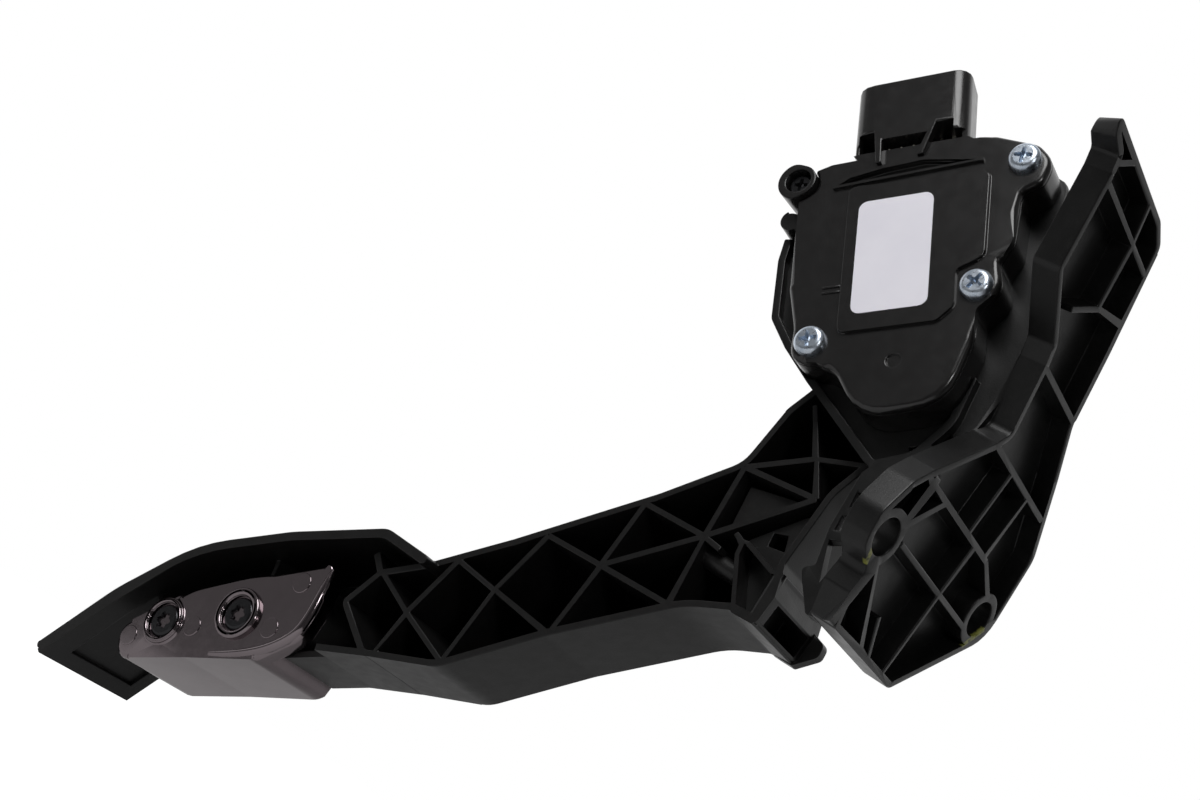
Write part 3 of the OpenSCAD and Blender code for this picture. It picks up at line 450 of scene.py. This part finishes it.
def weigh_edges(mesh, widest, radius_at):
    """Gives each sharp edge its radius over the widest one, less where its neighbours are close."""
    layers = mesh.edges.layers.float
    weight = layers.get("bevel_weight_edge") or layers.new("bevel_weight_edge")
    for edge in mesh.edges:
        if len(edge.link_faces) != 2 or edge.calc_face_angle(0) < sharp_angle:
            continue
        # A wide radius may take up more of the room beside it than a fine one.
        share = 0.3 if radius_at(edge) < 1 * mm else 0.66
        room = radius_at(edge) / share
        for end in edge.verts:
            along = (edge.other_vert(end).co - end.co).normalized()
            for other in end.link_edges:
                side = other.other_vert(end).co - end.co
                if other is not edge and abs(side.normalized().dot(along)) < parallel_cosine:
                    room = min(room, side.length)
        edge[weight] = share * room / widest
    return weight


def turned_faces(piece, solid, reach):
    """Middles of the bevelled faces that point against the sharp solid or stand off it."""
    shaped = piece.evaluated_get(bpy.context.evaluated_depsgraph_get()).to_mesh()
    bad = []
    for face in shaped.polygons:
        near, normal, index, gap = solid.find_nearest(face.center)
        if normal.dot(face.normal) < -0.1 or gap > 1.2 * reach:
            bad.append(face.center.copy())
    return bad


def sharpen_near(mesh, weight, spots, reach):
    """Takes the bevel off the edges that pass close to a spot."""
    for edge in mesh.edges:
        start, stop = edge.verts[0].co, edge.verts[1].co
        for spot in spots if edge[weight] > 0 else []:
            share = (spot - start).dot(stop - start) / (stop - start).length_squared
            share = min(1, max(0, share))
            if (start + share * (stop - start) - spot).length < reach:
                edge[weight] = 0
                break


print("edges bevelled above", round(sharp_angle * 180 / pi), "degrees")

# %% Soft copies
def even(radius_mm):
    """The same radius for every edge."""
    return lambda edge: radius_mm * mm


def softened(node, name, slot, body, radius_at, rings=2, reshape=None):
    """A soft-edged copy that stands for a CAD node, reshaped by a rule where one is given."""
    piece = merged_copy(node, name)
    if reshape:
        for vertex in piece.data.vertices:
            vertex.co = reshape(vertex.co)
    mesh = bmesh.new()
    mesh.from_mesh(piece.data)
    widest = max(radius_at(edge) for edge in mesh.edges)
    weight = weigh_edges(mesh, widest, radius_at)
    solid = BVHTree.FromBMesh(mesh)
    mesh.to_mesh(piece.data)
    bevel = piece.modifiers.new("edges", "BEVEL")
    bevel.width = widest
    bevel.segments = rings
    bevel.limit_method = "WEIGHT"
    bevel.use_clamp_overlap = False
    # Each round looks for turned faces again and reaches further round them.
    for reach_mm in (0.8, 1.2, 2, 3):
        bad = turned_faces(piece, solid, widest)
        if not bad:
            break
        sharpen_near(mesh, weight, bad, reach_mm * mm)
        mesh.to_mesh(piece.data)
    left = len(turned_faces(piece, solid, widest))
    mesh.free()
    apply_all(piece)
    level_faces(piece)
    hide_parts(node)
    finish_piece(piece, slot, body)
    print(name, "faces:", len(piece.data.polygons), "turned faces left:", left)


print("radius of an even 0.35 mm edge in metres:", even(0.35)(None))

# %% [markdown]
# ## Frames of the pivot and the sensor
# Most places on this part are easiest to give from the pivot. The sensor leans by 33.6 degrees, so its
# places are given along its own width u, height v and depth y, and two functions turn them to and fro.

# %% Frames
pivot = Vector((-32, -27.5, 38.5)) * mm
lean = radians(33.6)


def from_pivot(x, y, z):
    """A place in mm from the pivot as a world point."""
    return pivot + Vector((x, y, z)) * mm


def in_sensor(point):
    """A world point as the sensor's u, v and depth y in mm."""
    x, y, z = (point - pivot) / mm
    return x * cos(lean) + z * sin(lean), -x * sin(lean) + z * cos(lean), y


def from_sensor(u, v, y):
    """The sensor's u, v and y in mm as a world point."""
    return from_pivot(u * cos(lean) - v * sin(lean), y, u * sin(lean) + v * cos(lean))


print("pivot at", [round(c, 4) for c in pivot])

# %% [markdown]
# ## Reshaping
# A few forms follow the photograph more closely than the solids need to: the hood's side walls, the screw
# boss, the flange's hook and the trim's upper corner. A moulding could be modelled anew for that, but a
# rule that moves the points of one region keeps the rest exactly on the solid. In the same way, a radius
# rule gives the cover's rim and the trim's face the wide, bright edges of the real part.

# %% Reshaping rules
def smooth(value):
    """0 below 0 and 1 above 1, with soft ends."""
    value = min(1, max(0, value))
    return value * value * (3 - 2 * value)


def hood_drawn_in(point):
    """The connector hood's side walls, drawn in at the right and out at the left."""
    u, v, y = in_sensor(point)
    hood_foot = 67.9
    if v < hood_foot:
        return point
    deeper = min(1, max(0, y / 12))
    u -= (1.5 + 1.4 * deeper) * smooth((u - 9) / 5.5) + 1.3 * smooth((-u - 9) / 4)
    return from_sensor(u, v, y)


def boss_widened(point):
    """The tall screw boss of the tray, fuller on its outer side."""
    u, v, y = in_sensor(point)
    boss_u, boss_v = -31.3, 62
    out = hypot(u - boss_u, v - boss_v)
    if 4.4 < out < 7 and y < 8:
        grown = 1 + 0.17 * smooth((-u - 29.3) / 4)
        u, v = boss_u + (u - boss_u) * grown, boss_v + (v - boss_v) * grown
    return from_sensor(u, v, y)


def hook_rounded(point):
    """The hook on the flange's top corner: drawn back behind, longer in front."""
    x, y, z = (point - pivot) / mm
    hook_foot = -27
    if x > 23 and z > 64.5 and y < hook_foot:
        y = hook_foot + (y - hook_foot) * (0.4 if x < 28 else 1.4)
    return from_pivot(x, y, z)


def trim_corner_raised(point):
    """The trim's upper corner, drawn up to the pad."""
    x, y, z = (point - pivot) / mm
    near = smooth(1 - hypot(x + 122, z + 133) / 14)
    return from_pivot(x - 1.5 * near, y, z + 3.6 * near)


hood_corner = from_sensor(15, 75, 0)
print("hood's corner moves by", round((hood_drawn_in(hood_corner) - hood_corner).length / mm, 2), "mm")

# %% Radius rules
def cover_radius(edge):
    """A wide radius on the cover's outer rim, a middle one on its panel and hood, a fine one elsewhere."""
    ends = [in_sensor(v.co) for v in edge.verts]
    # The rim is what lies on the face, outside the box that holds the panel's own lines.
    on_face = all(abs(y) < 0.01 and v < 68.2 for u, v, y in ends)
    inside = all(-17 < u < 24 and 9 < v < 63.5 for u, v, y in ends)
    if on_face and not inside:
        return 1.6 * mm
    if all(abs(y + 1) < 0.01 for u, v, y in ends):
        return 0.7 * mm
    return (0.9 if all(v > 70 for u, v, y in ends) else 0.35) * mm


def trim_radius(edge):
    """A wide radius round the trim's face, a fine one elsewhere."""
    face_y = 15
    ends = [(v.co - pivot) / mm for v in edge.verts]
    return (1.8 if all(abs(e.y - face_y) < 0.01 for e in ends) else 0.4) * mm


# %% Softened mouldings
softened("bracket_housing", "bracket_moulding", "bracket_plastic", "bracket", even(0.4),
         reshape=hook_rounded)
softened("sensor_housing", "sensor_tray", "sensor_plastic", "bracket", even(0.35),
         reshape=boss_widened)
softened("sensor_cover", "sensor_lid", "sensor_plastic", "bracket", cover_radius, rings=4,
         reshape=hood_drawn_in)
softened("pedal_arm", "arm_moulding", "arm_plastic", "pedal", even(0.35))
softened("pad_trim", "trim_cap", "trim_plating", "pedal", trim_radius, rings=4,
         reshape=trim_corner_raised)

# %% [markdown]
# ## Copies
# What repeats is modelled once at the origin, with its axis along z, and then copied with its own mesh. The
# copies are joined into one piece, because equal fasteners share one node.

# %% Helper for copies
def copied(piece, name, places, slot, body, node=None):
    """One piece made of copies of another, which is used up. It may stand for a node."""
    copies = []
    for place in places:
        copy = bpy.data.objects.new(name, piece.data.copy())
        bpy.context.scene.collection.objects.link(copy)
        copy.data.transform(place)
        copies.append(copy)
    bpy.data.objects.remove(piece)
    pick_only(copies[0])
    for copy in copies:
        copy.select_set(True)
    if len(copies) > 1:
        bpy.ops.object.join()
    if node:
        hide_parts(node)
    finish_piece(copies[0], slot, body)
    print(name, "copies:", len(places), "faces:", len(copies[0].data.polygons))


def facing_side(point, turn=0.0):
    """The place of a copy whose top looks out of the part's open side, turned about its own axis."""
    return (Matrix.Translation(point) @ Matrix.Rotation(pi / 2, 4, "X")
            @ Matrix.Rotation(turn, 4, "Z"))


print("a copy's top looks along", [round(c) for c in facing_side(pivot).to_3x3().col[2]])

# %% [markdown]
# ## Screws
# The cover is held by three domed zinc screws with a cross recess, the boss by one small black one, and the
# trim by two black screws with a six-lobe recess. A real head is forged, so its dome and recess come from
# one punch. Here a short cylinder gets its dome by a wide bevel of its rim, and the recess is a tapered
# cutter taken out with a Boolean modifier. One screw is made for each kind and then copied.

# %% Punches for the recesses
def cutter(name, outline, depth, taper=0.55):
    """A tapered punch with a given outline, its wide end just above z = 0."""
    above = 0.3
    bpy.ops.mesh.primitive_circle_add(
        vertices=len(outline), radius=1, fill_type="NGON", location=(0, 0, 0))
    tool = bpy.context.object
    tool.name = name
    for vertex, (x, y) in zip(tool.data.vertices, outline):
        vertex.co = Vector((x, y, above)) * mm
    bpy.ops.object.mode_set(mode="EDIT")
    bpy.ops.mesh.select_all(action="SELECT")
    bpy.ops.mesh.extrude_region_move(
        TRANSFORM_OT_translate={"value": (0, 0, -(depth + above) * mm)})
    bpy.ops.transform.resize(value=(taper, taper, 1), center_override=(0, 0, 0))
    bpy.ops.mesh.select_all(action="SELECT")
    bpy.ops.mesh.normals_make_consistent(inside=False)
    bpy.ops.object.mode_set(mode="OBJECT")
    return tool


def cross(length, width):
    """The outline of a cross recess."""
    a, b = length / 2, width / 2
    c = b * 1.3
    return [(a, -b), (a, b), (c, c), (b, a), (-b, a), (-c, c),
            (-a, b), (-a, -b), (-c, -c), (-b, -a), (b, -a), (c, -c)]


def six_lobes(radius, wave, points=48):
    """The outline of a six-lobe recess."""
    angles = [2 * pi * i / points for i in range(points)]
    reach = [radius * (1 + wave * cos(6 * a)) for a in angles]
    return [(r * cos(a), r * sin(a)) for r, a in zip(reach, angles)]


print("points of a cross:", len(cross(5.4, 1.1)))

# %% Screw blanks
def cylinder(name, diameter, height, vertices):
    """A cylinder with its top at z = 0."""
    bpy.ops.object.select_all(action="DESELECT")
    bpy.ops.mesh.primitive_cylinder_add(
        vertices=vertices, radius=diameter / 2 * mm, depth=height * mm,
        location=(0, 0, -height / 2 * mm))
    piece = bpy.context.object
    piece.name = name
    bpy.ops.object.transform_apply(location=True, rotation=True, scale=True)
    bpy.ops.object.mode_set(mode="EDIT")
    return piece


def pull_down(distance):
    """Extrudes the selected faces downwards."""
    bpy.ops.mesh.extrude_region_move(TRANSFORM_OT_translate={"value": (0, 0, -distance * mm)})


def pick_faces(piece, looks):
    """Selects the faces whose normal's z passes a test."""
    mesh = bmesh.from_edit_mesh(piece.data)
    bpy.ops.mesh.select_all(action="DESELECT")
    for face in mesh.faces:
        face.select_set(looks(face.normal.z))
    bmesh.update_edit_mesh(piece.data)


def round_rim(piece, radius, segments, **options):
    """Rounds the rim at z = 0."""
    mesh = bmesh.from_edit_mesh(piece.data)
    bpy.ops.mesh.select_all(action="DESELECT")
    for edge in mesh.edges:
        edge.select_set(all(abs(v.co.z) < 1e-6 for v in edge.verts))
    bmesh.update_edit_mesh(piece.data)
    bpy.ops.mesh.bevel(offset=radius * mm, segments=segments, affect="EDGES", **options)
    bpy.ops.object.mode_set(mode="OBJECT")


def screw(name, head_d, head_h, dome, shank_d, shank_l, punch):
    """A screw with its head's top at z = 0, a pointed shank and a recess from a punch."""
    point_l = 1
    piece = cylinder(name, head_d, head_h, 48)
    pick_faces(piece, lambda z: z < -0.9)
    bpy.ops.mesh.inset(thickness=(head_d - shank_d) / 2 * mm)
    pull_down(shank_l - point_l)
    pull_down(point_l)
    bpy.ops.transform.resize(value=(0.7, 0.7, 1), center_override=(0, 0, 0))
    round_rim(piece, dome, segments=6, profile=0.5)
    hollow = piece.modifiers.new("recess", "BOOLEAN")
    hollow.operation = "DIFFERENCE"
    hollow.solver = "EXACT"
    hollow.object = punch
    apply_all(piece)
    bpy.data.objects.remove(punch)
    level_faces(piece, 32)
    return piece


# %% Cover, boss and trim screws
zinc = screw("cover_screw", head_d=8.8, head_h=2.4, dome=1.7, shank_d=4, shank_l=14,
             punch=cutter("cross_punch", cross(5.4, 1.1), 1.7))
copied(zinc, "cover_screw_set", [
    facing_side(from_sensor(32.5, 57.3, -2.4), 0.35), facing_side(from_sensor(21, 19.5, -2.4), -0.2),
    facing_side(from_sensor(-23.4, 8.6, -2.4), 0.6)], "zinc_screw_steel", "bracket", "cover_screws")
small = screw("boss_screw_one", head_d=7, head_h=1.9, dome=0.9, shank_d=3.4, shank_l=5.8,
              punch=cutter("small_punch", cross(4.4, 1.1), 1.3))
copied(small, "boss_screw_soft", [facing_side(from_sensor(-31.3, 62, 0.6), 0.4)],
       "black_screw_steel", "bracket", "boss_screw")
black = screw("trim_screw", head_d=11, head_h=2.2, dome=1.3, shank_d=4, shank_l=12.5,
              punch=cutter("six_lobe_punch", six_lobes(2.6, 0.17), 1.5, 0.85))
trim_screws_xz = [(-143, -159), (-166.5, -175.5)]
copied(black, "trim_screw_set", [facing_side(from_pivot(x, 14.3, z), 0.3) for x, z in trim_screws_xz],
       "black_screw_steel", "pedal", "trim_screws")

# %% [markdown]
# ## Rings and ejector marks of the trim
# A raised plated ring stands round each trim screw, and the mould's ejector pins left four shallow round
# pads on the face. A ring is a cylinder with an inset top that is extruded down into a well, and an ejector
# pad is a flat disc with a rounded rim. Both are made once and copied.

# %% Rings and marks on the trim
def disc(name, diameter, height, rim, segments, well_d=0.0, well_h=0.0):
    """A round pad with its top at z = 0, a rounded rim and, where asked, a well."""
    piece = cylinder(name, diameter, height, 64)
    if well_d:
        pick_faces(piece, lambda z: z > 0.9)
        bpy.ops.mesh.inset(thickness=(diameter - well_d) / 2 * mm)
        pull_down(well_h)
    round_rim(piece, rim, segments)
    level_faces(piece)
    return piece


for number, ((x, z), diameter) in enumerate(zip(trim_screws_xz, (16.6, 14.4)), 1):
    ring = disc("ring", diameter, 2.2, rim=0.9, segments=4, well_d=11.6, well_h=1.9)
    copied(ring, "trim_ring_%d" % number, [facing_side(from_pivot(x, 13.4, z))], "trim_plating", "pedal")
marks_xz = [(-175.2, -186.2), (-155.6, -171.0), (-129.4, -156.1), (-130.3, -139.8)]
copied(disc("mark", 6.6, 0.5, rim=0.25, segments=3), "trim_ejector_marks",
       [facing_side(from_pivot(x, 14.75, z)) for x, z in marks_xz], "trim_plating", "pedal")

# %% [markdown]
# ## Bead of the trim
# A round bead runs down the trim's right edge and round its lower corner, and thins out along the belly.
# It is drawn as a curve with a round section, because its thickness changes along its length, and is then
# made a mesh.

# %% Bead: x and z from the pivot and the radius, all in mm
bead_y = 15.6
bead_line = [(-124.1, -131.0, 0.6), (-122.4, -136.2, 1.4), (-120.5, -142.6, 1.6),
             (-119.5, -147.9, 1.6), (-119.7, -153.0, 1.6), (-123.2, -158.6, 1.6),
             (-127.9, -164.0, 1.6), (-135.7, -169.6, 1.4), (-142.7, -173.6, 0.9)]
bead_curve = bpy.data.curves.new("trim_bead", "CURVE")
bead_curve.dimensions = "3D"
bead_curve.bevel_depth = 1 * mm
bead_curve.bevel_resolution = 5
bead_curve.use_fill_caps = True
spline = bead_curve.splines.new("NURBS")
spline.points.add(len(bead_line) - 1)
spline.use_endpoint_u = True
spline.order_u = 4
spline.resolution_u = 6
for point, (x, z, radius) in zip(spline.points, bead_line):
    point.co = (*from_pivot(x, bead_y, z), 1)
    point.radius = radius
bead = bpy.data.objects.new("trim_bead", bead_curve)
bpy.context.scene.collection.objects.link(bead)
pick_only(bead)
bpy.ops.object.convert(target="MESH")
bead = bpy.context.object
bpy.ops.object.shade_smooth()
finish_piece(bead, "trim_plating", "pedal")
print("bead faces:", len(bead.data.polygons))

# %% [markdown]
# ## Pin ends and the mark on the cover
# The tips of the contact pins stick out in pairs on the ledge under the hood, and a small moulded mark of
# two bars stands left of the label. Both are tiny, so each is one bevelled primitive, copied.

# %% Pin ends and bars
def eased(piece, name, bevel):
    """A small primitive with its edges just broken."""
    piece.name = name
    bpy.ops.object.transform_apply(location=True, rotation=True, scale=True)
    round_over = piece.modifiers.new("edges", "BEVEL")
    round_over.width = bevel * mm
    round_over.segments = 2
    round_over.limit_method = "ANGLE"
    apply_all(piece)
    bpy.ops.object.shade_smooth_by_angle(angle=radians(40))
    return piece


def leaning(u, v, y):
    """The place of a copy whose axis runs along the sensor's height."""
    return Matrix.Translation(from_sensor(u, v, y)) @ Matrix.Rotation(-lean, 4, "Y")


bpy.ops.object.select_all(action="DESELECT")
bpy.ops.mesh.primitive_cylinder_add(vertices=16, radius=0.35 * mm, depth=1 * mm, location=(0, 0, 0))
pin = eased(bpy.context.object, "pin_end", 0.15)
pair_pitch, step = 3.5, 0.9
pin_places = [leaning(-9.3 + pair_pitch * pair + step * k, 68.6, 0.7 + step * k)
              for pair in range(4) for k in range(2)]
copied(pin, "pin_ends", pin_places, "pin_brass", "bracket")
bpy.ops.object.select_all(action="DESELECT")
bpy.ops.mesh.primitive_cube_add(size=1, location=(0, 0, 0))
bpy.context.object.scale = Vector((5.0, 0.5, 0.7)) * mm
bar = eased(bpy.context.object, "bar", 0.15)
copied(bar, "cover_mark", [leaning(-18.9, v, -0.05) for v in (23.5, 25.2)], "sensor_plastic", "bracket")

# %% [markdown]
# ## Springs
# The two nested springs are wound from drawn wire. They are squeezed between their seat and the arm's
# lever when the pedal is pressed. Their copies keep their shape and stay on the bracket.

# %% Springs on the bracket
for node, name in (("return_spring_outer", "outer_spring_wire"),
                   ("return_spring_inner", "inner_spring_wire")):
    wire = merged_copy(node, name)
    bpy.ops.object.shade_smooth_by_angle(angle=radians(50))
    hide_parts(node)
    finish_piece(wire, "spring_steel", "bracket")
    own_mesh(wire)
    print(name, "faces:", len(wire.data.polygons))

# %% [markdown]
# ## Remaining CAD nodes
# The bushes, shaft, seals and board are seen only through gaps. Their solids already have the right shape,
# so they stay and only get their materials.

# %% Materials of the nodes that stay
for part in frame["record"]["subparts"]:
    solid = nodes[part["node"]]
    solid.data.materials.clear()
    solid.data.materials.append(materials[part["material_slot"]])
print("nodes that stay:", [n for n in nodes if not nodes[n].hide_render])
